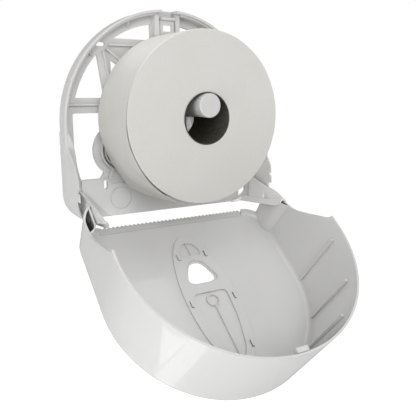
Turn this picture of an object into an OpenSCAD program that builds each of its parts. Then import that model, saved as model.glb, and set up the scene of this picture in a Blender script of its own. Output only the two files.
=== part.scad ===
// Jumbo toilet roll dispenser for a wall, drawn with its front cover swung down and open.
// The wall plane is y = 0 and the object stands in front of it, towards -y.
// x = 0 is the middle of the plate, z = 0 is the centre of its arched top.

/* [General] */
// Which sub-part is drawn
// Angle of the cover from closed, in degrees
open_angle = 127; // [0:1:127]
// Sides used for round faces
round_steps = 96; // [48:12:144]
// Steps in each rounded outline corner
corner_steps = 5; // [3:1:8]

/* [Wall plate] */
// Radius of the arched top of the wall plate
arch_r = 138.8; // [137:0.1:140]
// Radius of the lower corners of the plate
corner_r = 33; // [31:0.5:35]
// Height of the lower corner centres below the arch centre
corner_drop = 84.5; // [83:0.5:86]
// Thickness of the flat web of the plate
web_t = 3.5; // [3:0.1:4]
// Distance of the outer edge of the web windows inside the plate outline
window_set = 15.3; // [14.3:0.1:16.3]
// Width of the stiffening ribs on the web
rib_w = 2; // [1.6:0.1:2.4]
// Depth of the stiffening ribs, from the wall
rib_d = 8; // [6.5:0.5:9]
// Depth of the raised lower pad, from the wall
pad_d = 5.4; // [5:0.2:6]
// Radius of the solid land round the spindle
land_r = 40; // [38:1:42]
// Width of the short lug under the hub rings
lug_w = 3.6; // [3:0.1:4]
// Radius of the round knock-out mark on the pad
knock_r = 14.5; // [13:0.5:16]
// Width and depth of the knock-out groove
groove_w = 0.7; // [0.5:0.1:1]
// Length of the long side of a wall slot
slot_l = 11.6; // [10.5:0.1:12.5]
// Width of a wall slot
slot_w = 4.8; // [4.5:0.1:5.2]

/* [Plate rim and ears] */
// Thickness of the rim wall
rim_t = 3; // [2.6:0.1:3.4]
// Depth of the rim wall from the wall
rim_d = 20; // [18:0.5:22]
// Thickness of the shoulder inside the rim wall
shoulder_t = 2.2; // [1.8:0.1:2.6]
// Distance the shoulder stays behind the rim edge
shoulder_set = 3; // [2:0.5:4]
// Distance each ear stands proud of the rim
ear_proud = 1; // [0.8:0.1:1.2]
// Gap between each ear and the cover that closes over it
ear_gap = 0.4; // [0.3:0.1:0.6]
// Half width of the notch in the rim for the catch
notch_half = 10; // [9.6:0.2:10.6]
// Depth of rim left standing behind the notch
notch_back = 3.4; // [3:0.2:3.8]
// Thickness of the small gussets in the rim corner
gusset_t = 1.8; // [1.5:0.1:2.1]

/* [Hub socket] */
// Radius of the round hub disc in the web
hub_r = 34; // [33:0.5:35]
// Radius of the outer hub ring
ring_r = 26; // [25:0.5:27]
// Radius of the inner hub ring
inner_ring_r = 21.4; // [21:0.2:22]
// Width of a hub ring
ring_w = 1.8; // [1.4:0.1:2.2]
// Depth of the hub rings, from the wall
ring_d = 11; // [9.5:0.5:11.5]
// Thickness of the dark pad in the hub
hub_pad_t = 2; // [1.5:0.1:2.5]

/* [Latch] */
// Half width of the spring tongue
tongue_half = 9.6; // [9:0.2:10]
// Thickness of the spring tongue
tongue_t = 2.4; // [2:0.1:2.6]
// Depth of the front face of the tongue
tongue_d = 13; // [12.5:0.1:13.4]
// Half width of the window in the tongue
tongue_hole_half = 5.8; // [5.2:0.2:6.4]
// Height of the window in the tongue
tongue_hole_h = 7.6; // [7:0.2:8.2]
// Distance of the window in the tongue below its head
tongue_hole_set = 5.8; // [5.2:0.2:6.4]
// Gap on each side of the tongue
slit = 1.8; // [1.4:0.1:2.2]
// Gap behind the foot of the tongue
foot_gap = 0.3; // [0.25:0.05:0.4]
// Width of each tower bar
bar_w = 6; // [5:0.5:7]
// Depth of the tower bars from the wall
bar_d = 13.6; // [13.4:0.1:14]
// Height of the head of the tongue
head_h = 3; // [2.6:0.2:3.4]
// Depth of the front face of the head
head_d = 17; // [16:0.5:18]

/* [Spindle] */
// Radius of the roll spindle
spindle_r = 14; // [13.6:0.1:14.4]
// Wall thickness of the hollow spindle
spindle_wall = 2.6; // [2.2:0.1:3]
// Depth of the spindle end, from the wall
spindle_d = 107.5; // [106:0.5:108]
// Radius of the round edge at the spindle end
spindle_edge = 1.6; // [1.2:0.2:2]
// Sideways offset of the spindle from the middle
spindle_x = 7.5; // [6.5:0.5:8]
// Height of the spindle axis
spindle_z = 24.2; // [23:0.2:25.4]
// Radius of the spindle foot
foot_r = 20; // [18.5:0.5:21]
// Thickness of the spindle foot
foot_t = 3; // [2.5:0.5:4]

/* [Hinge] */
// Distance of the hinge axis in front of the wall
hinge_d = 64.3; // [63.8:0.1:64.8]
// Depth of the hinge axis below the arch centre
hinge_drop = 101.6; // [101:0.2:102.2]
// Distance of the arm inner face inside the plate side
arm_inset = 16.8; // [16.4:0.1:17.2]
// Thickness of a hinge arm
arm_t = 4; // [3.6:0.1:4.2]
// Sideways step of the arm root
arm_step = 7; // [6:0.5:7.5]
// Radius of a hinge pin
pin_r = 6; // [5.5:0.1:6.4]
// Radial clearance of a pin in the cover
pin_gap = 0.08; // [0.04:0.01:0.1]
// Radius of the pin collar
collar_r = 8.5; // [8:0.1:9]
// Thickness of the pin collar
collar_t = 1.1; // [0.9:0.1:1.2]
// Depth of the dimple at the inner end of the pin
pin_dimple = 1.4; // [1:0.1:1.8]
// Play between the cover and the pin shoulders
pin_play = 0.4; // [0.35:0.05:0.5]

/* [Cover] */
// Distance of the cover outline outside the plate outline
cover_grow = 4.7; // [4.6:0.1:4.9]
// Wall thickness of the cover
cover_t = 2.6; // [2.4:0.1:2.7]
// Distance of the cover rim from the wall when closed
cover_back = 4.4; // [4:0.2:5]
// Depth of the cover front from the wall when closed
cover_d = 113; // [112.6:0.2:114]
// Radius of the outer front edge
front_round = 9; // [8:0.5:10]
// Thickness of the bearing wall at each hinge
bearing_t = 2; // [1.8:0.1:2.4]
// Inward slope of the cover side wall over its depth
draft = 5.8; // [5:0.2:6]
// Radius of the round shoulder over each hinge pocket
pocket_r = 16.5; // [15:0.5:17]
// Depth below the arch centre of the shoulder centre
pocket_drop = 86; // [85:0.5:87]
// Distance of the pocket mouth from the wall when closed
pocket_back = 54; // [53.5:0.5:55]
// Thickness of the side wall ribs
side_rib_t = 2.4; // [2:0.1:2.8]
// Height of the side wall ribs at their open end
side_rib_h = 4.4; // [4:0.2:5]
// Height of the side wall ribs at the front
rib_tip = 2.6; // [2:0.2:3]
// Gap between the side wall and what sits against it
seat_gap = 0.1; // [0.05:0.05:0.2]
// Distance of the side wall ribs from the rim when closed
rib_gap = 1; // [0.8:0.1:1.5]
// Step of the leaf-shaped recess in the front
leaf_step = 1.8; // [1.6:0.1:2]
// Half width of the leaf-shaped insert
leaf_half = 33; // [32:0.5:34]
// Half length of the leaf-shaped insert
leaf_long = 93; // [92:0.5:94]
// Height of the leaf centre above the arch centre
leaf_z = 8; // [7:0.5:9]
// Gap around the insert in its recess
leaf_gap = 0.3; // [0.2:0.05:0.4]
// Width of the shell border around the recess
leaf_border = 2.4; // [2.2:0.1:2.6]
// Length of each snap hook
hook_l = 8.6; // [8:0.2:9.2]
// Thickness of each snap hook
hook_t = 1.6; // [1.4:0.1:1.8]
// Clearance of each snap hook in its slot
hook_gap = 0.3; // [0.2:0.05:0.4]
// Height of each snap hook behind the shell
hook_h = 2.2; // [1.8:0.1:2.6]
// Overhang of each snap hook barb
hook_barb = 1; // [0.8:0.1:1.2]
// Distance the window in the insert stays inside the shell window
window_inset = 3; // [2.4:0.2:3.6]

/* [Tear edge] */
// Gap between each end of the tear strip and the corner of the cover
tear_set = 0.5; // [0.3:0.1:1]
// Height of the tear strip
tear_h = 8.6; // [8:0.2:9]
// Thickness of the tear strip
tear_t = 1; // [0.8:0.1:1.2]
// Number of teeth along the strip
tooth_n = 37; // [33:1:41]
// Height of a tooth
tooth_h = 2.6; // [2.2:0.1:3]
// Height of the lower edge of the front panel below the arch centre
panel_drop = 117; // [116:0.5:117.5]

/* [Catch] */
// Half width of the lock catch
catch_half = 7; // [6.5:0.1:7.5]
// Radial height of the lock catch
catch_h = 5.5; // [5:0.1:6]
// Depth of the lock catch along the rim
catch_d = 7; // [6:0.5:8]

/* [Paper roll] */
// Outer radius of the paper roll
roll_r = 101.2; // [95:0.1:102]
// Width of the paper roll
roll_w = 85; // [84:0.1:86]
// Inner radius of the cardboard core
core_r = 29.6; // [29:0.1:30]
// Wall thickness of the cardboard core
core_t = 1.1; // [1:0.1:1.3]
// Gap between core and spindle at the top
core_gap = 0.3; // [0.3:0.05:0.5]
// Distance of the roll behind face from the wall
roll_back = 15.3; // [15:0.1:15.6]
// Thickness of the loose paper tail
tail_t = 0.4; // [0.35:0.05:0.5]
// Distance of the torn end from the roll at the wall side
tail_lift_back = 9.4; // [9:0.2:10]
// Distance of the torn end from the roll in front
tail_lift_front = 2.6; // [2:0.2:3]
// Slack of the sheet half way along it at the wall side
tail_slack = 1.8; // [1.4:0.2:2.4]
// Angle round the roll at which the loose sheet starts
tail_from = 150; // [145:1:155]
// Angle round the roll of the torn end at the wall side
tail_end_back = 234; // [231:1:237]
// Angle round the roll of the torn end in front
tail_end_front = 259; // [256:1:262]
// Distance of the tail from the roll where it starts
tail_start = 0.3; // [0.3:0.05:0.4]

/* [Hidden] */
$fn = round_steps;
fine_steps = 4 * round_steps;
over = arch_r / 100;
plastic = "gainsboro";
plastic_dark = "silver";
corner_x = arch_r - corner_r;
roll_z = spindle_z + spindle_r + core_gap - core_r;
cover_r = arch_r + cover_grow;
inner_front = cover_d - cover_t;
window_r = arch_r - window_set;
arm_x = arch_r - arm_inset;
bearing_x = arm_x + arm_t + collar_t + pin_play;
tear_half = corner_x - tear_set;

// Outlines on the plate as shares of the arch radius, x then height
top_window_shares = [[-0.555, 0.742], [-0.14, 0.742], [-0.14, 1], [-0.555, 1]];
side_window_shares = [[-0.598, 0.231], [-1, 0.231], [-1, 0.7], [-0.652, 0.606], [-0.611, 0.317]];
low_window_shares = [[-0.89, 0.099], [-0.58, 0.099], [-0.562, -0.007], [-0.6, -0.24], [-0.627, -0.43],
    [-0.66, -0.49], [-0.843, -0.49], [-0.865, -0.396], [-0.89, -0.216]];
inner_window_shares = [[-0.528, 0.559], [-0.528, 0.475], [-0.5, 0.231], [-0.26, 0.231], [-0.26, 0.37]];
upper_window_shares = [[-0.41, 0.612], [-0.13, 0.4], [-0.06, 0.46], [-0.06, 0.62]];
centre_window_shares = [[-0.2, -0.2], [-0.08, -0.2], [-0.08, -0.47], [-0.33, -0.47], [-0.24, -0.3]];
arm_window_shares = [[0.811, -0.824], [0.933, -0.824], [0.933, -0.70], [0.811, -0.70]];
pad_shares = [[-0.82, -0.845], [0.82, -0.845], [0.843, -0.8], [0.843, -0.49], [0.585, -0.49], [0.565, -0.545],
    [-0.565, -0.545], [-0.585, -0.49], [-0.843, -0.49], [-0.843, -0.8]];
web_ribs_shares = [[[-0.97, 0.173], [-0.23, 0.173]], [[-0.55, 0.685], [-0.13, 0.685]], [[-0.57, 0.65], [-0.25, 0.41]],
    [[-0.6, 0.63], [-0.52, 0.22]]];
lug_shares = [[-0.55, -0.41], [-0.585, -0.5]];
tower_window_half = tongue_half + slit;
slot_x_share = 0.617;
slot_high_share = 0.689;
slot_low_share = 0.546;
hub_x_share = 0.4755;
hub_z_share = 0.238;
boss_x_share = 0.545;
boss_z_share = 0.09;
boss_r_share = 0.3;
boss_rings_shares = [0.285, 0.245, 0.205];
knock_x_share = 0.475;
knock_z_share = 0.682;
gusset_angles = [40, 67, 113, 140];
ear_top_share = 0.058;
rim_end_share = 0.173;
shelf_shares = [[-0.99, -0.065], [-0.965, -0.065], [-0.93, -0.16], [-0.922, -0.2], [-0.908, -0.33], [-0.9, -0.55], [-0.99, -0.55]];
ear_depth_share = 0.425;
ear_front_shares = [[0, -0.058], [0.03, -0.058], [0.16, -0.19], [0.325, -0.32], [0.405, -0.44], [0.425, -0.60], [0.425, -0.95], [0, -0.95]];
arm_side_shares = [[0, -0.53], [0.225, -0.578], [0.455, -0.635], [0.735, -0.711], [0.757, -0.722], [0.65, -0.744],
    [0.54, -0.768], [0.49, -0.80], [0.375, -0.822], [0.025, -0.835], [0.025, -0.7], [0, -0.7]];
rim_edge_shares = [[-0.0576, -0.072], [0.055, -0.072], [0.094, -0.108], [0.24, -0.284], [0.327, -0.397], [0.367, -0.468],
    [0.391, -0.55], [0.4, -0.63], [0.389, -0.99], [-0.0576, -0.99]];
relief_shares = [[0.7, -0.06], [0.86, -0.06], [0.9, -0.26], [1.01, -0.405], [1.1, -0.43], [1.1, -0.45], [0.7, -0.45]];
tongue_root_share = 0.742;
tongue_top_share = 0.936;
head_top_share = 0.936;
// Outlines on the cover front as shares of the half length of the leaf, from its centre
view_shares = [[-0.127, -0.22], [0.127, -0.22], [0.213, -0.253], [0.228, -0.317], [0.161, -0.489],
    [0.082, -0.604], [-0.082, -0.604], [-0.161, -0.489], [-0.228, -0.317], [-0.213, -0.253]];
cup_shares = [[-0.142, -0.69], [0.142, -0.69], [0.149, -0.758], [0.09, -0.884],
    [0, -0.904], [-0.09, -0.884], [-0.149, -0.758]];
bay_shares = [[-0.251, -0.041], [-0.209, -0.086], [0.209, -0.086], [0.251, -0.041], [0.231, 0.332],
    [0.142, 0.765], [0.045, 0.899], [-0.045, 0.899], [-0.142, 0.765], [-0.231, 0.332]];
hook_shares = [[0.216, -0.728], [0.328, 0.001], [0.227, 0.705]];
rib_angles = [6, 31, 53];
view_centre_share = 0.412;
view_half_share = 0.228;
cup_rib_shares = [0.902, 0.69];
bay_rib_share = 0.892;
ring_boss_z_share = 0.041;
ring_boss_r_share = 0.09;
ring_boss_z = leaf_z + ring_boss_z_share * leaf_long;
ring_boss_r = ring_boss_r_share * leaf_long;
tail_steps = 36;
tail_rows = 6;
tail_curl = 6;
front_slack_share = 0.3;
step_corner_share = 0.02;
wide_corner_share = 0.06;
leaf_corner_share = 0.09;
cup_corner_share = 0.03;

// Rounds every corner of an outline with a curve that starts a given length from it
function softened(points, reach) = [
    for (i = [0:len(points) - 1])
        let (
            here = points[i],
            back = points[(i + len(points) - 1) % len(points)] - here,
            next = points[(i + 1) % len(points)] - here,
            size = min(reach, norm(back) / 2, norm(next) / 2),
            first = here + back * size / norm(back),
            last = here + next * size / norm(next)
        )
        for (k = [0:corner_steps])
            let (t = k / corner_steps)
            first * pow(1 - t, 2) + here * 2 * t * (1 - t) + last * pow(t, 2)
];
function sized(shares) = [for (p = shares) p * arch_r];
function leaf_sized(shares) = [for (p = shares) [p[0] * leaf_long, leaf_z + p[1] * leaf_long]];
function leaf_points(grow) = [
    for (k = [0:round_steps - 1])
        let (a = 360 * k / round_steps)
        [(leaf_half + grow) * cos(a), leaf_z + (leaf_long + grow) * sin(a)]
];

// Value at a share of the roll width, between its wall side and its front
function between(back, front, share) = back + (front - back) * share;

// Loose sheet at a share of its length and of the roll width: angle round the roll, then distance from the axis
function tail_angle(along, share) = between(tail_from, between(tail_end_back, tail_end_front, share), along);
function tail_radius(along, share) = roll_r + tail_start
    + between(tail_slack, tail_slack * front_slack_share, share) * pow(sin(180 * along), 2)
    + between(tail_lift_back, tail_lift_front, share) * pow(along, tail_curl);

// Radius at a depth of what sits against the inside of the cover side wall
function wall_inside(depth) = cover_r - cover_t - seat_gap
    - draft * (depth - cover_back) / (cover_d - front_round - cover_back);

// Stands a flat outline up in front of the wall, from one depth to another
module slab(from, to) {
    translate([0, -from, 0])
        rotate([90, 0, 0])
            linear_extrude(to - from)
                children();
}

// Lays an outline of depth and height across the width
module across(from, to) {
    translate([from, 0, 0])
        rotate([0, 0, -90])
            rotate([90, 0, 0])
                mirror([0, 0, 1])
                    linear_extrude(to - from)
                        children();
}

// Shape shared by the plate and the cover: arched top, straight sides, round lower corners
module d_shape(grow) {
    intersection() {
        circle(arch_r + grow);
        above(0);
    }
    translate([-arch_r - grow, -corner_drop])
        square([2 * (arch_r + grow), corner_drop + over]);
    translate([-corner_x, -corner_drop - corner_r - grow])
        square([2 * corner_x, corner_r + grow + over]);
    for (side = [-1, 1])
        translate([side * corner_x, -corner_drop])
            circle(corner_r + grow);
}

module both_sides() {
    children();
    mirror([1, 0, 0])
        children();
}

module soft_outline(shares, corner_share) {
    polygon(softened(sized(shares), corner_share * arch_r));
}

module leaf_outline(shares, corner_share) {
    polygon(softened(leaf_sized(shares), corner_share * leaf_long));
}

// Rib on the web along a line between two points given as shares
module web_rib(from, to, width) {
    run = (to - from) * arch_r;
    translate([from[0] * arch_r, 0, from[1] * arch_r])
        rotate([0, -atan2(run[1], run[0]), 0])
            translate([0, -rib_d, -width / 2])
                cube([norm(run), rib_d, width]);
}

module wall_slot(length, height) {
    square([length, height], center = true);
    for (side = [-1, 1])
        if (length > height)
            translate([side * length / 2, 0])
                circle(height / 2);
        else
            translate([0, side * height / 2])
                circle(length / 2);
}

module web_windows() {
    intersection() {
        circle(window_r);
        both_sides() {
            soft_outline(top_window_shares, step_corner_share);
            soft_outline(side_window_shares, step_corner_share);
        }
    }
    both_sides()
        difference() {
            soft_outline(inner_window_shares, step_corner_share);
            translate([spindle_x, spindle_z])
                circle(land_r);
        }
    both_sides()
        soft_outline(upper_window_shares, step_corner_share);
    difference() {
        both_sides()
            soft_outline(low_window_shares, step_corner_share);
        translate([-hub_x_share * arch_r, -hub_z_share * arch_r])
            circle(hub_r);
    }
    both_sides()
        soft_outline(centre_window_shares, wide_corner_share);
    both_sides()
        soft_outline(arm_window_shares, step_corner_share);
    translate([-tower_window_half, tongue_root_share * arch_r])
        square([2 * tower_window_half, head_top_share * arch_r - head_h - tongue_root_share * arch_r]);
}

module ring(outer, width, from, to) {
    slab(from, to)
        difference() {
            circle(outer);
            circle(outer - width);
        }
}

// Ribs of the web and gussets in the rim corner
module plate_ribs() {
    both_sides() {
        for (ends = web_ribs_shares)
            web_rib(ends[0], ends[1], rib_w);
        web_rib(lug_shares[0], lug_shares[1], lug_w);
    }
    for (angle = gusset_angles)
        rotate([0, -angle, 0])
            translate([arch_r - rim_t, 0, -gusset_t / 2])
                mirror([1, 0, 0])
                    linear_extrude(gusset_t)
                        polygon([[0, 0], [0, shoulder_set - rim_d + gusset_t],
                            [shoulder_t, shoulder_set - rim_d + gusset_t], [shoulder_t + rim_d / 2, 0]]);
}

// Lattice wall plate with hub disc, slots, lower pad and ribs
module back_plate() {
    color(plastic)
    difference() {
        union() {
            slab(0, web_t)
                difference() {
                    d_shape(-rim_t);
                    difference() {
                        web_windows();
                        translate([boss_x_share * arch_r, boss_z_share * arch_r])
                            circle(boss_r_share * arch_r);
                    }
                }
            slab(0, pad_d)
                intersection() {
                    soft_outline(pad_shares, step_corner_share);
                    union() {
                        d_shape(-rim_t);
                        translate([-corner_x, -arch_r])
                            square([2 * corner_x, arch_r]);
                    }
                }
            for (r = [ring_r, inner_ring_r])
                translate([-hub_x_share * arch_r, 0, -hub_z_share * arch_r])
                    ring(r, ring_w, 0, ring_d);
            for (share = boss_rings_shares)
                translate([boss_x_share * arch_r, 0, boss_z_share * arch_r])
                    ring(share * arch_r, rib_w, 0, rib_d);
            intersection() {
                plate_ribs();
                slab(0, rim_d)
                    d_shape(-rim_t - shoulder_t);
            }
        }
        translate([-hub_x_share * arch_r, 0, -hub_z_share * arch_r])
            slab(-over, ring_d + over)
                circle(inner_ring_r - ring_w);
        translate([spindle_x, 0, spindle_z])
            slab(-over, web_t + over)
                circle(spindle_r - spindle_wall);
        translate([-knock_x_share * arch_r, 0, -knock_z_share * arch_r])
            ring(knock_r, groove_w, pad_d - groove_w, pad_d + over);
        both_sides() {
            translate([slot_x_share * arch_r, 0, slot_high_share * arch_r])
                slab(-over, rib_d + over)
                    wall_slot(slot_l - slot_w, slot_w);
            translate([slot_x_share * arch_r, 0, -slot_low_share * arch_r])
                slab(-over, rib_d + over)
                    wall_slot(slot_w, slot_l - slot_w);
        }
    }
}

module above(height) {
    translate([-2 * arch_r, height])
        square([4 * arch_r, 2 * arch_r]);
}

// Arched rim wall with an inner shoulder and the notch for the catch
module plate_rim() {
    color(plastic)
    difference() {
        union() {
            slab(0, rim_d)
                intersection() {
                    difference() {
                        d_shape(0);
                        d_shape(-rim_t);
                    }
                    above(-rim_end_share * arch_r);
                }
            slab(web_t, rim_d - shoulder_set)
                intersection() {
                    difference() {
                        d_shape(-rim_t);
                        d_shape(-rim_t - shoulder_t);
                    }
                    above(-rim_end_share * arch_r);
                    difference() {
                        above(-arch_r);
                        translate([-tower_window_half - bar_w, 0])
                            square([2 * (tower_window_half + bar_w), 2 * arch_r]);
                    }
                }
        }
        translate([-notch_half, -rim_d - over, 0])
            cube([2 * notch_half, rim_d + over - notch_back, 2 * arch_r]);
    }
}

// Side cheek that wraps round the lower end of the rim and carries a narrow inner shelf
module ear() {
    color(plastic) {
        difference() {
            intersection() {
                slab(0, arch_r)
                    difference() {
                        d_shape(ear_proud);
                        d_shape(-rim_t);
                        above(-ear_top_share * arch_r);
                        translate([-corner_x, -2 * arch_r])
                            square([4 * arch_r, 4 * arch_r]);
                    }
                across(-2 * arch_r, 0)
                    polygon(sized(ear_front_shares));
            }
            slab(-over, arch_r)
                intersection() {
                    d_shape(0);
                    above(-rim_end_share * arch_r);
                }
            translate([0, 0, -2 * arch_r])
                linear_extrude(2 * arch_r - corner_drop)
                    mirror([1, 0])
                        polygon(sized(relief_shares));
            cover_body(cover_t + ear_gap);
            mirror([1, 0, 0])
                slab(pocket_back - ear_gap, arch_r)
                    pocket_band(2 * ear_gap);
        }
        slab(rim_d - shoulder_set, rim_d)
            difference() {
                polygon(sized(shelf_shares));
                difference() {
                    above(-rim_end_share * arch_r);
                    d_shape(-rim_t);
                }
            }
    }
}

// Arm that reaches forward from the plate and carries the hinge
module arm() {
    color(plastic)
    difference() {
        intersection() {
            translate([0, 0, -2 * arch_r])
                linear_extrude(2 * arch_r)
                    polygon(softened([
                        [arm_x + arm_step, -web_t], [arm_x + arm_step, -web_t - 2 * arm_t],
                        [arm_x, -rim_d - arm_t], [arm_x, -arch_r], [arm_x + arm_t, -arch_r],
                        [arm_x + arm_t, -rim_d - arm_t], [arm_x + arm_t + arm_step, -web_t - 2 * arm_t],
                        [arm_x + arm_t + arm_step, -web_t]], arm_t));
            across(0, 2 * arch_r)
                polygon(softened(sized(arm_side_shares), step_corner_share * arch_r));
        }
        translate([0, -hinge_d, -hinge_drop])
            rotate([0, 90, 0])
                cylinder(h = 2 * arch_r, r = pin_r);
        slab(-over, ear_depth_share * arch_r)
            difference() {
                square(4 * arch_r, center = true);
                d_shape(-rim_t);
            }
    }
}

// Two bars that tie the top of the rim to the web and hold the catch frame
module latch_tower() {
    base = tongue_root_share * arch_r;
    color(plastic)
    intersection() {
        both_sides()
            translate([tower_window_half, -bar_d, base])
                cube([bar_w, bar_d - web_t, arch_r]);
        slab(0, rim_d)
            d_shape(-rim_t);
    }
}

// Spring tongue with a window and a wide head below the notch
module latch_tongue() {
    base = tongue_root_share * arch_r;
    top = tongue_top_share * arch_r;
    color(plastic_dark)
    union() {
        difference() {
            translate([-tongue_half, -tongue_d, base - tongue_t])
                cube([2 * tongue_half, tongue_t, top - base - head_h + tongue_t]);
            translate([-tongue_hole_half, -tongue_d - over, top - head_h - tongue_hole_set - tongue_hole_h])
                cube([2 * tongue_hole_half, tongue_t + 2 * over, tongue_hole_h]);
        }
        translate([-tongue_half, -head_d, top - head_h])
            cube([2 * tongue_half, head_d - tongue_d + tongue_t, head_h]);
        translate([-tongue_half, -tongue_d, base - tongue_t])
            cube([2 * tongue_half, tongue_d - web_t - foot_gap, tongue_t]);
    }
}

// Dark pad on the floor of the hub socket
module hub_pad() {
    color("dimgray")
        translate([-hub_x_share * arch_r, 0, -hub_z_share * arch_r])
            slab(0, hub_pad_t)
                circle(inner_ring_r - ring_w);
}

// Hollow roll spindle with a round-edged closed end
module spindle() {
    color(plastic)
        translate([spindle_x, 0, spindle_z])
            rotate([90, 0, 0])
                rotate_extrude()
                    difference() {
                        union() {
                            translate([0, web_t])
                                square([foot_r, foot_t]);
                            translate([0, web_t])
                                square([spindle_r, spindle_d - web_t - spindle_edge]);
                            translate([0, web_t])
                                square([spindle_r - spindle_edge, spindle_d - web_t]);
                            translate([spindle_r - spindle_edge, spindle_d - spindle_edge])
                                intersection() {
                                    circle(spindle_edge);
                                    square(spindle_edge);
                                }
                        }
                        translate([0, -over])
                            square([spindle_r - spindle_wall, spindle_d - spindle_wall + over]);
                    }
}

// Hinge pin with a collar between the arm and the bearing wall
module hinge_pin() {
    color(plastic_dark)
        translate([0, -hinge_d, -hinge_drop])
            rotate([0, 90, 0])
                rotate_extrude()
                    polygon([
                        [0, arm_x + pin_dimple], [pin_r, arm_x + pin_dimple], [pin_r, arm_x + arm_t], [collar_r, arm_x + arm_t],
                        [collar_r, arm_x + arm_t + collar_t], [pin_r, arm_x + arm_t + collar_t],
                        [pin_r, bearing_x + bearing_t - pin_play], [0, bearing_x + bearing_t - pin_play]]);
}

// Places the cover body, drawn closed, at its open angle
module swung() {
    translate([0, -hinge_d, -hinge_drop])
        rotate([open_angle, 0, 0])
            translate([0, hinge_d, hinge_drop])
                children();
}

// Filled profile of the cover: radius across, depth up, sloping in towards the front
module cover_fill(r, depth, round) {
    polygon([[0, cover_back], [r, cover_back], [r - draft, depth - round], [0, depth - round]]);
    translate([0, cover_back])
        square([r - draft - round, depth - cover_back]);
    translate([r - draft - round, depth - round])
        intersection() {
            circle(round);
            square(round);
        }
}

// Profile of the cover: filled where the wall is zero, otherwise hollow
module body_profile(wall, r) {
    difference() {
        cover_fill(r, cover_d, front_round);
        if (wall > 0) {
            cover_fill(r - wall, cover_d - wall, front_round - wall);
            square([r - wall, cover_back + over / 2]);
        }
    }
}

module turned(from, sweep) {
    rotate([90, 0, 0])
        rotate([0, 0, from])
            rotate_extrude(angle = sweep)
                children();
}

// Turns or draws the profile along the whole outline
module cover_body(wall) {
    turned(0, 180)
        body_profile(wall, cover_r);
    both_sides() {
        translate([0, 0, -corner_drop])
            linear_extrude(corner_drop)
                mirror([0, 1])
                    body_profile(wall, cover_r);
        translate([corner_x, 0, -corner_drop])
            turned(-90, 90)
                body_profile(wall, corner_r + cover_grow);
    }
}

module cover_outer() {
    cover_body(cover_t);
    slab(inner_front, cover_d)
        translate([-corner_x, -panel_drop])
            square([2 * corner_x, panel_drop - corner_drop + over]);
}

module leaf(grow) {
    polygon(leaf_points(grow));
}

module at_hinge() {
    translate([0, -hinge_d, -hinge_drop])
        rotate([0, 90, 0])
            children();
}

// Wall of the hinge pocket, seen along the depth: upright beside the arm, then rounded out to the side wall
module pocket_band(grow) {
    translate([bearing_x - grow, -panel_drop])
        square([bearing_t + 2 * grow, panel_drop - pocket_drop]);
    translate([bearing_x + pocket_r, -pocket_drop])
        intersection() {
            difference() {
                circle(pocket_r + grow);
                circle(pocket_r - bearing_t - grow);
            }
            translate([-pocket_r - grow, 0])
                square(pocket_r + grow);
        }
}

// Pocket inside each lower corner whose wall turns on the hinge pin
module bearing_pocket() {
    intersection() {
        slab(pocket_back, inner_front + cover_t / 2)
            pocket_band(0);
        cover_body(0);
    }
}

module edge_cut() {
    both_sides()
        across(corner_x, 2 * arch_r)
            polygon(sized(rim_edge_shares));
}

// One moulded cover: arched side wall, front, leaf recess and hinge pockets
module cover_shell() {
    color(plastic)
    swung()
    difference() {
        union() {
            difference() {
                cover_outer();
                translate([-bearing_x, front_round - cover_d, -2 * arch_r])
                    cube([2 * bearing_x, arch_r, 2 * arch_r - corner_drop]);
            }
            both_sides()
                bearing_pocket();
            slab(inner_front - leaf_step, inner_front)
                leaf(leaf_border);
        }
        both_sides()
            at_hinge()
                cylinder(h = bearing_x + bearing_t + pin_play, r = pin_r + pin_gap);
        edge_cut();
        slab(cover_d - leaf_step, cover_d + over)
            leaf(leaf_gap);
        slab(0, cover_d + over) {
            leaf_outline(view_shares, leaf_corner_share);
            leaf_outline(cup_shares, cup_corner_share);
            leaf_outline(bay_shares, leaf_corner_share);
            both_sides()
                for (p = leaf_sized(hook_shares))
                    translate([p[0] - hook_t / 2 - hook_gap - hook_barb, p[1] - hook_gap])
                        square([hook_t + hook_barb + 2 * hook_gap, hook_l + 2 * hook_gap]);
        }
    }
}

// Stiffening ribs inside the cover side wall
module cover_ribs() {
    color(plastic)
    swung()
    both_sides()
        for (angle = rib_angles)
            rotate([0, -angle, 0])
                translate([0, 0, -side_rib_t / 2])
                    linear_extrude(side_rib_t)
                        polygon([
                            [wall_inside(rim_d + rib_gap), -rim_d - rib_gap],
                            [wall_inside(cover_d - front_round), front_round - cover_d],
                            [wall_inside(cover_d - front_round) - rib_tip, front_round - cover_d],
                            [wall_inside(rim_d + rib_gap) - side_rib_h, -rim_d - rib_gap]]);
}

// Wedge-backed serrated strip along the lower edge of the front panel
module tear_edge() {
    pitch = 2 * tear_half / tooth_n;
    color(plastic_dark)
    swung() {
        across(-tear_half, tear_half)
            polygon([[inner_front, -panel_drop], [inner_front, tear_h - panel_drop],
                [inner_front - tear_t, tear_h / 2 - panel_drop], [inner_front - tear_t, -panel_drop]]);
        slab(inner_front - tear_t, inner_front)
            translate([0, -panel_drop])
                polygon(concat(
                    [[tear_half, tear_t], [-tear_half, tear_t]],
                    [for (k = [0:tooth_n - 1])
                        for (step = [0, 0.5])
                            [-tear_half + pitch * (k + step), step > 0 ? -tooth_h : 0]],
                    [[tear_half, 0]]));
    }
}

// Catch under the middle of the cover rim
module lock_catch() {
    top = wall_inside(cover_back + catch_d);
    color(plastic)
    swung()
        slab(cover_back, cover_back + catch_d)
            intersection() {
                translate([-catch_half, top - catch_h])
                    square([2 * catch_half, 2 * catch_h]);
                circle(top, $fn = fine_steps);
            }
}

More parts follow.
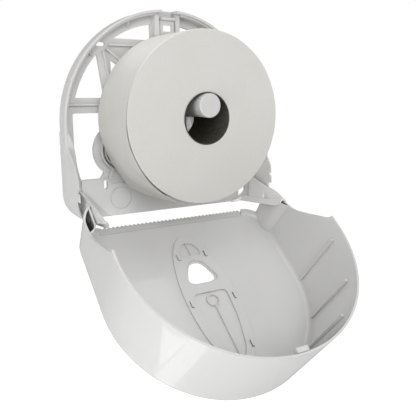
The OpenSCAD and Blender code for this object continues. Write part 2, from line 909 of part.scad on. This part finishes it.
// Leaf-shaped inlay in the cover front with a viewing window and snap hooks
module window_insert() {
    color(plastic_dark)
    swung()
    union() {
        slab(cover_d - leaf_step, cover_d)
            difference() {
                leaf(0);
                translate([0, leaf_z - view_centre_share * leaf_long])
                    scale(1 - window_inset / (view_half_share * leaf_long))
                        translate([0, view_centre_share * leaf_long - leaf_z])
                            leaf_outline(view_shares, leaf_corner_share);
            }
        slab(inner_front - leaf_step, cover_d - leaf_step) {
            translate([-hook_t / 2, ring_boss_z + ring_boss_r - hook_t])
                square([hook_t, leaf_z + bay_rib_share * leaf_long - ring_boss_z - ring_boss_r + hook_t]);
            translate([-hook_t / 2, leaf_z - cup_rib_shares[0] * leaf_long])
                square([hook_t, (cup_rib_shares[0] - cup_rib_shares[1]) * leaf_long]);
        }
        translate([0, 0, ring_boss_z])
            ring(ring_boss_r, hook_t, inner_front - leaf_step, cover_d - leaf_step);
        both_sides()
            for (p = leaf_sized(hook_shares)) {
                slab(inner_front - leaf_step - hook_h, cover_d - leaf_step)
                    translate([p[0] - hook_t / 2, p[1]])
                        square([hook_t, hook_l]);
                slab(inner_front - leaf_step - hook_h, inner_front - leaf_step - hook_h / 2)
                    translate([p[0] - hook_t / 2 - hook_barb, p[1]])
                        square([hook_t + hook_barb, hook_l]);
            }
    }
}

module on_roll_axis() {
    translate([spindle_x, 0, roll_z])
        children();
}

// Cardboard tube in the middle of the paper roll
module roll_core() {
    color("tan")
        on_roll_axis()
            ring(core_r + core_t, core_t, roll_back, roll_back + roll_w);
}

// Wound paper on the core
module paper_roll() {
    color("whitesmoke")
        on_roll_axis()
            ring(roll_r, roll_r - core_r - core_t, roll_back, roll_back + roll_w);
}

// Outer sheet that has come loose, with its torn end standing off the roll most at the wall side
module paper_tail() {
    row = tail_steps + 1;
    side = row * (tail_rows + 1);
    cells = [for (i = [0:tail_rows - 1]) for (k = [0:tail_steps - 1]) i * row + k];
    color("white")
        on_roll_axis()
            polyhedron(
                points = [
                    for (out = [tail_t, 0])
                        for (i = [0:tail_rows])
                            for (k = [0:tail_steps])
                                let (
                                    a = tail_angle(k / tail_steps, i / tail_rows),
                                    r = tail_radius(k / tail_steps, i / tail_rows) + out
                                )
                                [r * cos(a), -roll_back - roll_w * i / tail_rows, r * sin(a)]
                ],
                faces = concat(
                    [for (c = cells) [c, c + row, c + row + 1]],
                    [for (c = cells) [c, c + row + 1, c + 1]],
                    [for (c = cells) [side + c, side + c + row + 1, side + c + row]],
                    [for (c = cells) [side + c, side + c + 1, side + c + row + 1]],
                    [for (k = [0:tail_steps - 1]) [k, k + 1, side + k + 1]],
                    [for (k = [0:tail_steps - 1]) [k, side + k + 1, side + k]],
                    [for (k = [0:tail_steps - 1]) [side - row + k, side * 2 - row + k + 1, side - row + k + 1]],
                    [for (k = [0:tail_steps - 1]) [side - row + k, side * 2 - row + k, side * 2 - row + k + 1]],
                    [for (i = [0:tail_rows - 1]) [i * row, side + i * row, side + i * row + row]],
                    [for (i = [0:tail_rows - 1]) [i * row, side + i * row + row, i * row + row]],
                    [for (i = [1:tail_rows]) [i * row - 1, i * row - 1 + row, side + i * row - 1 + row]],
                    [for (i = [1:tail_rows]) [i * row - 1, side + i * row - 1 + row, side + i * row - 1]]));
}

module ear_left() ear();
module ear_right() mirror([1, 0, 0]) ear();
module arm_right() arm();
module arm_left() mirror([1, 0, 0]) arm();
module hinge_pin_right() hinge_pin();
module hinge_pin_left() mirror([1, 0, 0]) hinge_pin();

back_plate();
plate_rim();
ear_left();
ear_right();
arm_left();
arm_right();
latch_tower();
latch_tongue();
hub_pad();
spindle();
hinge_pin_left();
hinge_pin_right();
cover_shell();
cover_ribs();
tear_edge();
lock_catch();
window_insert();
roll_core();
paper_roll();
paper_tail();
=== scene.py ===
import math
import random

import bmesh
import bpy
from mathutils import Matrix, Vector, noise


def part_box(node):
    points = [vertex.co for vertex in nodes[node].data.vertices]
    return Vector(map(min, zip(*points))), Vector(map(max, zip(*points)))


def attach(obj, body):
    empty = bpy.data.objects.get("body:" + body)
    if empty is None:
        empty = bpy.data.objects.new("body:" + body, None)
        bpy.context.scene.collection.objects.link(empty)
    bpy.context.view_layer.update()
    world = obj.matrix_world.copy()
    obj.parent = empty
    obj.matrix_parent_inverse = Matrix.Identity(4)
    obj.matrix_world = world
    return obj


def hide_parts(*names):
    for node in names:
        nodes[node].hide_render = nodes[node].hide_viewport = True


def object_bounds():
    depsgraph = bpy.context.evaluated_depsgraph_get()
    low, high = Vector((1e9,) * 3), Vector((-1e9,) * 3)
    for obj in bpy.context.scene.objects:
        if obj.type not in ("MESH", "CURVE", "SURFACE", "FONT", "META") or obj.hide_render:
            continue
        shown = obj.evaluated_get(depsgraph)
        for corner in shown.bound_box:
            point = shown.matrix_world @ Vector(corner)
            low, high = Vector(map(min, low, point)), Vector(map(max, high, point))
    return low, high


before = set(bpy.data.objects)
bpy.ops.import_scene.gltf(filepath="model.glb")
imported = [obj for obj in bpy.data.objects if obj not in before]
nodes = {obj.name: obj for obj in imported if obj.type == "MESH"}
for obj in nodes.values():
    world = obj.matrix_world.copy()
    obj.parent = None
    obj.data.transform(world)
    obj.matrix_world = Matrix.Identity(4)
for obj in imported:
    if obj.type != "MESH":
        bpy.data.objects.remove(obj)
cad_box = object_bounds()
MM = 0.001
WHITE = (1, 1, 1)
BLACK = (0, 0, 0)

# Camera, fitted to the roll, the plate and the cover of the photograph
CAMERA_PLACE = (-0.3144, -0.6431, 0.0413)
CAMERA_AZIMUTH, CAMERA_ELEVATION, CAMERA_ROLL = -30.75, 12.48, 0.14
SENSOR = 36
FOCAL_SHARE = 1.277  # focal length over the picture's width


def make_camera():
    """The photograph's camera: its place, direction and focal length."""
    data = bpy.data.cameras.new("camera")
    data.sensor_width = SENSOR
    data.lens = FOCAL_SHARE * SENSOR
    data.clip_start, data.clip_end = 0.01, 20
    az, el, roll = (math.radians(v) for v in (CAMERA_AZIMUTH, CAMERA_ELEVATION, CAMERA_ROLL))
    back = Vector((math.sin(az) * math.cos(el), -math.cos(az) * math.cos(el), math.sin(el)))
    right = Vector((math.cos(az), math.sin(az), 0))
    up = back.cross(right)
    turned_right = right * math.cos(roll) + up * math.sin(roll)
    turned_up = up * math.cos(roll) - right * math.sin(roll)
    place = Matrix((turned_right, turned_up, back)).transposed().to_4x4()
    place.translation = Vector(CAMERA_PLACE)
    camera = bpy.data.objects.new("camera", data)
    camera.matrix_world = place
    bpy.context.scene.collection.objects.link(camera)
    bpy.context.scene.camera = camera


# Materials
def new_material(name):
    """An empty node material with its Principled shader and a small helper to add linked nodes."""
    material = bpy.data.materials.new(name)
    material.use_nodes = True
    tree = material.node_tree
    shader = tree.nodes["Principled BSDF"]

    def add(kind, inputs=None, **settings):
        node = tree.nodes.new(kind)
        for key, value in settings.items():
            setattr(node, key, value)
        for key, value in (inputs or {}).items():
            if isinstance(value, bpy.types.NodeSocket):
                tree.links.new(value, node.inputs[key])
            else:
                node.inputs[key].default_value = value
        return node

    return material, tree, shader, add


def ramp(add, source, low, high, dark, light):
    """A colour ramp that runs from one colour to another between two values of its source."""
    node = add("ShaderNodeValToRGB", {"Fac": source})
    first, last = node.color_ramp.elements
    first.position, last.position = low, high
    first.color, last.color = (*dark, 1), (*light, 1)
    return node.outputs["Color"]


def grey(value, warm=0.0):
    """A near-neutral colour: warm takes some blue and a trace of green away."""
    return (value, value * (1 - warm / 6), value * (1 - warm))


# Shade in corners and in deep hollows: reach, open shares between which it fades, strength and tone
CORNERS = (0.006, 0.25, 0.8, 0.25, 0.5)
HOLLOWS = (0.035, 0.02, 0.42, 0.85, 0.12)
FLOW_TONE, FLOW_WARM = 0.965, 1.2  # how much darker and warmer the flow clouds are
GLOSS_SPREAD = 0.14
SOFT_EDGE = 0.5 * MM


def moulded_plastic(name, value, warm, roughness, grain, coat=0.0, shades=(CORNERS,)):
    """White moulded plastic: flow clouds, uneven gloss, fine grain, soft edges and painted shade in the
    corners and hollows.
    """
    material, tree, shader, add = new_material(name)
    place = add("ShaderNodeTexCoord").outputs["Object"]
    clouds = add("ShaderNodeTexNoise", {"Vector": place, "Scale": 9, "Detail": 3}).outputs["Fac"]
    specks = add("ShaderNodeTexNoise", {"Vector": place, "Scale": 420, "Detail": 2}).outputs["Fac"]
    colour = ramp(add, clouds, 0.3, 0.7, grey(value * FLOW_TONE, warm * FLOW_WARM), grey(value, warm))
    # Painted shade: the colour turns darker and warmer where ambient occlusion finds surfaces close by.
    for reach, low, high, share, tone in shades:
        corner = add("ShaderNodeAmbientOcclusion", {"Distance": reach}, samples=6)
        fade = ramp(add, corner.outputs["AO"], low, high, (share,) * 3, BLACK)
        shade_mix = add("ShaderNodeMix", {"Factor": 0.0}, data_type="RGBA")
        tree.links.new(fade, shade_mix.inputs["Factor"])
        tree.links.new(colour, shade_mix.inputs["A"])
        shade_mix.inputs["B"].default_value = (*grey(value * tone, warm * 2), 1)
        colour = shade_mix.outputs["Result"]
    tree.links.new(colour, shader.inputs["Base Color"])
    gloss = add("ShaderNodeMapRange", {"Value": clouds, "To Min": roughness * (1 - GLOSS_SPREAD),
                                       "To Max": roughness * (1 + GLOSS_SPREAD)})
    tree.links.new(gloss.outputs["Result"], shader.inputs["Roughness"])
    soft_edge = add("ShaderNodeBevel", {"Radius": SOFT_EDGE}, samples=4)
    bump = add("ShaderNodeBump", {"Height": specks, "Strength": grain, "Distance": 0.2 * MM,
                                  "Normal": soft_edge.outputs["Normal"]})
    tree.links.new(bump.outputs["Normal"], shader.inputs["Normal"])
    shader.inputs["Coat Weight"].default_value = coat
    shader.inputs["Coat Roughness"].default_value = 0.04
    shader.inputs["Subsurface Weight"].default_value = 0.06
    shader.inputs["Subsurface Radius"].default_value = (4 * MM, 4 * MM, 4 * MM)
    return material


# Painted shade on the loose sheet, the roll's own paper: darker than the roll, it lightens between these
# heights to the tone of the roll that it starts from
SHEET_SHADE_LOW, SHEET_SHADE_HIGH = 15 * MM, 56 * MM
SHEET_LIT_TOP_SCALE = 1.1


def tissue(name, value, layers):
    """Soft tissue paper: fibre mottling and, on the wound roll, the edges of its layers; on the loose sheet,
    painted shade that darkens it lower down.
    """
    material, tree, shader, add = new_material(name)
    place = add("ShaderNodeTexCoord").outputs["Object"]
    fibre = add("ShaderNodeTexNoise", {"Vector": place, "Scale": 260, "Detail": 5,
                                       "Roughness": 0.7}).outputs["Fac"]
    clouds = add("ShaderNodeTexNoise", {"Vector": place, "Scale": 14, "Detail": 2}).outputs["Fac"]
    both = add("ShaderNodeMath", {0: fibre, 1: clouds}, operation="ADD").outputs[0]
    half = add("ShaderNodeMath", {0: both, 1: 0.5}, operation="MULTIPLY").outputs[0]
    tint = ramp(add, half, 0.35, 0.65, grey(value * 0.95, 0.07), grey(value, 0.05))
    height = fibre
    if layers:
        centre = [(a + b) / 2 for a, b in zip(*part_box("paper_roll"))]
        moved = add("ShaderNodeVectorMath", {0: place, 1: centre}, operation="SUBTRACT").outputs[0]
        flat = add("ShaderNodeVectorMath", {0: moved, 1: (1, 0, 1)}, operation="MULTIPLY").outputs[0]
        distance = add("ShaderNodeVectorMath", {0: flat}, operation="LENGTH").outputs["Value"]
        rings = add("ShaderNodeTexNoise", {"W": distance, "Scale": 1500, "Detail": 3},
                    noise_dimensions="1D").outputs["Fac"]
        height = add("ShaderNodeMath", {0: rings, 1: fibre}, operation="ADD").outputs[0]
        rim = ramp(add, rings, 0.35, 0.62, (0.985,) * 3, WHITE)
        layered = add("ShaderNodeMix", {"Factor": 1.0, "A": tint, "B": rim}, data_type="RGBA",
                      blend_type="MULTIPLY")
        colour = layered.outputs["Result"]
    else:
        # Painted shade: the sheet's colour is scaled up towards the top, so it stays darker lower down.
        level = add("ShaderNodeSeparateXYZ", {"Vector": place}).outputs["Z"]
        tone = add("ShaderNodeMapRange", {"Value": level, "From Min": SHEET_SHADE_LOW,
                                          "From Max": SHEET_SHADE_HIGH, "To Min": 1.0,
                                          "To Max": SHEET_LIT_TOP_SCALE}).outputs["Result"]
        colour = add("ShaderNodeVectorMath", {0: tint, "Scale": tone}, operation="SCALE").outputs[0]
    tree.links.new(colour, shader.inputs["Base Color"])
    bump = add("ShaderNodeBump", {"Height": height, "Strength": 0.25, "Distance": 0.3 * MM})
    tree.links.new(bump.outputs["Normal"], shader.inputs["Normal"])
    shader.inputs["Roughness"].default_value = 0.92
    shader.inputs["Specular IOR Level"].default_value = 0.2
    shader.inputs["Sheen Weight"].default_value = 0.15
    return material


def card(name):
    """Grey-brown card of the core, made near-black as painted shade for the dark inside of the tube, with
    fibres that run along the tube.
    """
    material, tree, shader, add = new_material(name)
    place = add("ShaderNodeTexCoord").outputs["Object"]
    stretch = add("ShaderNodeMapping", {"Vector": place, "Scale": (1, 0.3, 1)}).outputs["Vector"]
    fibre = add("ShaderNodeTexNoise", {"Vector": stretch, "Scale": 320, "Detail": 6,
                                       "Roughness": 0.7}).outputs["Fac"]
    # Painted shade: these near-black card values stand for the shade deep inside the core.
    colour = ramp(add, fibre, 0.3, 0.7, (0.055, 0.049, 0.037), (0.10, 0.09, 0.07))
    tree.links.new(colour, shader.inputs["Base Color"])
    bump = add("ShaderNodeBump", {"Height": fibre, "Strength": 0.3, "Distance": 0.2 * MM})
    tree.links.new(bump.outputs["Normal"], shader.inputs["Normal"])
    shader.inputs["Roughness"].default_value = 0.9
    return material


def dress(node, material):
    """Gives a CAD node its material. The mesh stays as it is."""
    obj = nodes[node]
    obj.data.materials.clear()
    obj.data.materials.append(material)


# Meshes
def finish_mesh(name, mesh, smooth):
    """Turns a bmesh into an object of the scene."""
    bmesh.ops.recalc_face_normals(mesh, faces=mesh.faces)
    data = bpy.data.meshes.new(name)
    mesh.to_mesh(data)
    mesh.free()
    for face in data.polygons:
        face.use_smooth = smooth
    obj = bpy.data.objects.new(name, data)
    bpy.context.scene.collection.objects.link(obj)
    return obj


def thicken(obj, thickness, offset):
    """Gives a surface its thickness: offset 1 grows outwards and 0 both ways."""
    thick = obj.modifiers.new("thick", "SOLIDIFY")
    thick.thickness = thickness
    thick.offset = offset


def ring_mesh(name, profile, centre, steps):
    """A closed ring turned from a profile of (radius, depth) points about the roll's axis."""
    mesh = bmesh.new()
    rows = []
    for i in range(steps):
        angle = 2 * math.pi * i / steps
        rows.append([mesh.verts.new((centre.x + r * math.cos(angle), y, centre.z + r * math.sin(angle)))
                     for r, y in profile])
    for i in range(steps):
        here, there = rows[i], rows[(i + 1) % steps]
        for j in range(len(profile)):
            k = (j + 1) % len(profile)
            mesh.faces.new((here[j], here[k], there[k], there[j]))
    return finish_mesh(name, mesh, True)


# Wound roll
ROLL_TONE = 0.72
ROLL_EDGE = 1.2 * MM
ROLL_LAYERS = 46
LAYER_STEP = 0.1 * MM
CORE_GAP = 0.05 * MM
ROLL_DENT = 0.6 * MM
ROLL_STEPS, SIDE_STEPS, TURN_STEPS = 180, 12, 4


def make_roll():
    """The wound roll: faces with slight steps of its layers, soft edges and a side not quite round."""
    low, high = (Vector(v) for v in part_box("paper_roll"))
    core_low, core_high = (Vector(v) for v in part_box("roll_core"))
    centre = (low + high) / 2
    outer = (high.x - low.x) / 2
    inner = (core_high.x - core_low.x) / 2 + CORE_GAP
    draw = random.Random(7)
    steps_front = [draw.uniform(0, LAYER_STEP) for _ in range(ROLL_LAYERS)]
    steps_back = [draw.uniform(0, LAYER_STEP) for _ in range(ROLL_LAYERS)]
    radii = [inner + (outer - ROLL_EDGE - inner) * k / (ROLL_LAYERS - 1) for k in range(ROLL_LAYERS)]
    turns = [math.pi / 2 * (k + 1) / TURN_STEPS for k in range(TURN_STEPS)]
    length = high.y - low.y - 2 * ROLL_EDGE
    front = [(r, low.y + d) for r, d in zip(radii, steps_front)]
    turn_front = [(outer - ROLL_EDGE * (1 - math.sin(t)), low.y + ROLL_EDGE * (1 - math.cos(t)))
                  for t in turns]
    side = [(outer, low.y + ROLL_EDGE + length * k / SIDE_STEPS) for k in range(1, SIDE_STEPS)]
    turn_back = [(r, low.y + high.y - y) for r, y in reversed(turn_front)]
    back = [(r, high.y - d) for r, d in zip(reversed(radii), reversed(steps_back))]
    roll = ring_mesh("paper_roll_wound", front + turn_front + side + turn_back + back, centre, ROLL_STEPS)
    for vert in roll.data.vertices:
        out = Vector((vert.co.x - centre.x, 0, vert.co.z - centre.z))
        share = max(0, (out.length - inner) / (outer - inner)) ** 3
        dent = noise.noise(vert.co * 16) * 0.35 + noise.noise(vert.co * 45) * 0.15 - 0.4
        vert.co += out.normalized() * dent * share * ROLL_DENT
    roll.data.materials.append(tissue("tissue_roll", ROLL_TONE, True))
    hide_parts("paper_roll")
    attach(roll, "roll")
    return roll


# Loose sheet. The angles go about the roll's axis, in degrees from +X towards +Z: its start, and the
# torn end at the back and at the front edge. Lift is how far the end stands off the roll, and slack
# how far the middle does.
TAIL_START, TAIL_BACK, TAIL_FRONT = 150, 234, 259
TAIL_LIFT_BACK, TAIL_LIFT_FRONT = 9.4 * MM, 2.6 * MM
TAIL_SLACK_BACK, TAIL_SLACK_FRONT = 1.8 * MM, 0.5 * MM
TAIL_CURL = 6
TAIL_TORN = 0.12
TAIL_SUNK = 0.9 * MM
TAIL_CLEAR, TAIL_RISE, TAIL_CREASE = 0.1 * MM, 0.45 * MM, 0.6 * MM
# Painted shade: the loose sheet gets a darker value than the same paper on the roll.
SHEET_TONE = 0.66
SHEET_T = 0.18 * MM
SHEET_COLUMNS, SHEET_ROWS = 110, 48


def make_sheet():
    """The loose outer sheet: tight to the roll at first, then a soft fold and a torn end that stands off."""
    low, high = (Vector(v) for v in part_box("paper_roll"))
    centre = (low + high) / 2
    outer = (high.x - low.x) / 2
    width = high.y - low.y
    draw = random.Random(3)
    torn = [draw.uniform(-1, 1) for _ in range(SHEET_ROWS + 1)]
    mesh = bmesh.new()
    grid = []
    for i in range(SHEET_ROWS + 1):
        share = i / SHEET_ROWS
        end = TAIL_BACK + (TAIL_FRONT - TAIL_BACK) * share + torn[i] * TAIL_TORN
        most_slack = TAIL_SLACK_BACK + (TAIL_SLACK_FRONT - TAIL_SLACK_BACK) * share
        most_lift = TAIL_LIFT_BACK + (TAIL_LIFT_FRONT - TAIL_LIFT_BACK) * share
        row = []
        for k in range(SHEET_COLUMNS + 1):
            along = k / SHEET_COLUMNS
            angle = math.radians(TAIL_START + (end - TAIL_START) * along)
            slack = most_slack * math.sin(math.pi * along) ** 2
            lift = most_lift * along ** TAIL_CURL
            place = Vector((share * 3.1, along * 5.2, 0.7))
            crease = noise.noise(place * 1.7) * 0.9 + noise.noise(place * 4.1) * 0.35
            rise = min(1, along * 3)
            sunk = TAIL_SUNK * max(0, 1 - along * 6)
            folds = rise * (TAIL_RISE + slack) + crease * rise * TAIL_CREASE
            radius = outer + TAIL_CLEAR - sunk + folds + lift
            row.append(mesh.verts.new((centre.x + radius * math.cos(angle), high.y - width * share,
                                       centre.z + radius * math.sin(angle))))
        grid.append(row)
    for i in range(SHEET_ROWS):
        for k in range(SHEET_COLUMNS):
            mesh.faces.new((grid[i][k], grid[i][k + 1], grid[i + 1][k + 1], grid[i + 1][k]))
    sheet = finish_mesh("paper_sheet", mesh, True)
    thicken(sheet, SHEET_T, 1)
    sheet.data.materials.append(tissue("tissue_sheet", SHEET_TONE, False))
    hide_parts("paper_tail")
    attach(sheet, "roll")
    return sheet


# Flange under each hinge arm, in mm: distance from the wall, height of its fold and height of its lip
FLANGE_STATIONS = [
    (6, -110, -117.3), (20, -107.6, -115.6), (40, -106.3, -113.9), (60, -104.7, -112),
    (80, -102, -110.2), (92, -100.2, -108.9), (98, -99.3, -106.8), (102, -98.8, -103.4),
]
FLANGE_REACH = 3.5 * MM
FLANGE_T = 1.2 * MM


def make_flange(side, material):
    """The flange that stiffens a hinge arm: it runs along the underside and leans inwards."""
    low, high = (Vector(v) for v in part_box("arm_" + side))
    face = low.x if side == "right" else high.x
    lip_x = face - FLANGE_REACH if side == "right" else face + FLANGE_REACH
    mesh = bmesh.new()
    rows = []
    for depth, fold, lip in FLANGE_STATIONS:
        rows.append([mesh.verts.new((face, -depth * MM, fold * MM)),
                     mesh.verts.new((lip_x, -depth * MM, lip * MM))])
    for (a, b), (c, d) in zip(rows, rows[1:]):
        mesh.faces.new((a, b, d, c))
    flange = finish_mesh("arm_flange_" + side, mesh, False)
    thicken(flange, FLANGE_T, 0)
    flange.data.materials.append(material)
    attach(flange, "base")
    return flange


# Studio
FLOOR_DROP = 0.35
FLOOR_REACH = 6
CARD_RISE = 0.03
SURROUND = 0.46
FLOOR_GLOW = 0.62  # what the floor adds for the camera alone, so that it shows white
SPOT_BLEND = 0.7
SPOT_SIZE = 0.01


def make_world():
    """A surround that is white to the camera and lights the object softly."""
    world = bpy.data.worlds.new("studio")
    bpy.context.scene.world = world
    world.use_nodes = True
    tree = world.node_tree
    tree.nodes.clear()
    out = tree.nodes.new("ShaderNodeOutputWorld")
    mix = tree.nodes.new("ShaderNodeMixShader")
    seen = tree.nodes.new("ShaderNodeBackground")
    lit = tree.nodes.new("ShaderNodeBackground")
    seen.inputs["Strength"].default_value = 1
    lit.inputs["Strength"].default_value = SURROUND
    for background in (seen, lit):
        background.inputs["Color"].default_value = (*WHITE, 1)
    path = tree.nodes.new("ShaderNodeLightPath")
    either = tree.nodes.new("ShaderNodeMath")
    either.operation = "MAXIMUM"
    tree.links.new(path.outputs["Is Camera Ray"], either.inputs[0])
    tree.links.new(path.outputs["Is Transmission Ray"], either.inputs[1])
    tree.links.new(either.outputs[0], mix.inputs["Fac"])
    tree.links.new(lit.outputs[0], mix.inputs[1])
    tree.links.new(seen.outputs[0], mix.inputs[2])
    tree.links.new(mix.outputs[0], out.inputs["Surface"])


def flat_card(name, corners, height):
    """A level face of the studio through the given corners."""
    data = bpy.data.meshes.new(name)
    data.from_pydata([(x, y, height) for x, y in corners], [], [tuple(range(len(corners)))])
    obj = bpy.data.objects.new(name, data)
    bpy.context.scene.collection.objects.link(obj)
    return obj


def make_floor(height):
    """A pale floor far below, as under a wall-held product."""
    reach = FLOOR_REACH
    floor = flat_card("floor", [(-reach, -reach), (reach, -reach), (reach, reach), (-reach, reach)], height)
    material, tree, shader, add = new_material("floor_white")
    shader.inputs["Base Color"].default_value = (0.9, 0.9, 0.9, 1)
    shader.inputs["Roughness"].default_value = 0.9
    path = add("ShaderNodeLightPath")
    glow = add("ShaderNodeMath", {0: path.outputs["Is Camera Ray"], 1: FLOOR_GLOW}, operation="MULTIPLY")
    shader.inputs["Emission Color"].default_value = (*WHITE, 1)
    tree.links.new(glow.outputs[0], shader.inputs["Emission Strength"])
    floor.data.materials.append(material)


def reflector(name, corners, height, strength):
    """A lit card above the floor that only shows as a reflection in the gloss of the cover."""
    obj = flat_card("reflector_" + name, corners, height)
    material, _, shader, _ = new_material("reflector_light_" + name)
    shader.inputs["Base Color"].default_value = (0.8, 0.8, 0.8, 1)
    shader.inputs["Emission Color"].default_value = (*WHITE, 1)
    shader.inputs["Emission Strength"].default_value = strength
    obj.data.materials.append(material)
    obj.visible_camera = False
    obj.visible_diffuse = False
    obj.visible_shadow = False


def hang_light(name, light, place, target):
    """Puts a light in its place and aims it."""
    obj = bpy.data.objects.new(name, light)
    obj.location = place
    obj.rotation_euler = (Vector(target) - Vector(place)).to_track_quat("-Z", "Y").to_euler()
    bpy.context.scene.collection.objects.link(obj)
    return obj


def lamp(name, place, size, power):
    """A soft lamp, aimed at the middle of the object."""
    light = bpy.data.lights.new(name, "AREA")
    light.shape = "RECTANGLE"
    light.size, light.size_y = size
    light.energy = power
    hang_light(name, light, place, (0, -0.1, -0.08))


def spot(name, place, target, cone, power, lit):
    """A narrow lamp for a deep part: it lights the given pieces alone."""
    light = bpy.data.lights.new(name, "SPOT")
    light.energy = power
    light.spot_size = math.radians(cone)
    light.spot_blend = SPOT_BLEND
    light.shadow_soft_size = SPOT_SIZE
    obj = hang_light(name, light, place, target)
    receivers = bpy.data.collections.new(name + "_lit")
    for piece in lit:
        receivers.objects.link(piece)
    obj.light_linking.receiver_collection = receivers


def make_studio(roll, sheet, right_flange):
    """The surround, the floor, soft lamps from the left and above, and narrow ones for the deep parts."""
    make_world()
    floor_z = cad_box[0].z - FLOOR_DROP
    make_floor(floor_z)
    lamp("key", (-0.45, -1.9, 0.75), (0.9, 0.9), 11.3)
    lamp("top", (0.1, -0.5, 1.6), (1.4, 1.0), 4.2)
    lamp("right", (1.4, -0.9, 0.6), (0.8, 1.0), 2)
    lamp("left", (-1.5, -1.1, 0.15), (0.7, 0.7), 4.1)
    lamp("low", (-1.2, -0.5, -0.6), (0.45, 0.8), 6.9)
    behind_core = [nodes["back_plate"]]
    low_left = [nodes["back_plate"], nodes["arm_left"]]
    right_hinge = [nodes["arm_right"], nodes["ear_right"], nodes["hinge_pin_right"], right_flange]
    spot("bore_fill", (-0.33, -0.66, 0.05), (0.0425, -0.004, -0.006), 3, 12.5, behind_core)
    spot("pad_fill", (-0.4, -0.8, 0.02), (-0.125, -0.004, -0.125), 12, 6, low_left)
    spot("roll_fill", (-0.35, -0.08, 0.75), (-0.022, -0.07, 0.105), 13, 6, [roll, sheet])
    spot("hinge_fill", (-0.35, -0.75, -0.04), (0.128, -0.05, -0.08), 11, 11, right_hinge)
    card_z = floor_z + CARD_RISE
    reflector("band", [(-0.247, -0.28), (-0.167, -0.28), (-0.167, -0.03), (-0.247, -0.03)], card_z, 0.85)
    reflector("wedge", [(-0.372, 0.001), (-0.249, -0.135), (-0.257, -0.04)], card_z, 1.1)
    bpy.context.scene.view_settings.view_transform = "Standard"


def main():
    make_camera()
    plate = moulded_plastic("plate_plastic", 0.72, 0.01, 0.42, 0.10)
    cover = moulded_plastic("cover_plastic", 0.78, 0.012, 0.30, 0.05, coat=0.9, shades=(CORNERS, HOLLOWS))
    fitting = moulded_plastic("fitting_plastic", 0.68, 0.01, 0.38, 0.08)
    insert = moulded_plastic("insert_plastic", 0.78, 0.012, 0.30, 0.05)
    # Painted shade: the near-black plastic of the hub pad stands for the shade deep in the empty spindle
    # socket.
    dark = moulded_plastic("dark_plastic", 0.03, 0.0, 0.6, 0.2)
    for node in ("back_plate", "plate_rim", "ear_left", "ear_right", "arm_left", "arm_right", "latch_tower"):
        dress(node, plate)
    for node in ("latch_tongue", "spindle", "hinge_pin_left", "hinge_pin_right", "tear_edge"):
        dress(node, fitting)
    for node in ("cover_shell", "cover_ribs", "lock_catch"):
        dress(node, cover)
    make_flange("left", plate)
    right_flange = make_flange("right", plate)
    dress("window_insert", insert)
    dress("hub_pad", dark)
    dress("roll_core", card("core_card"))
    roll = make_roll()
    sheet = make_sheet()
    make_studio(roll, sheet, right_flange)


main()
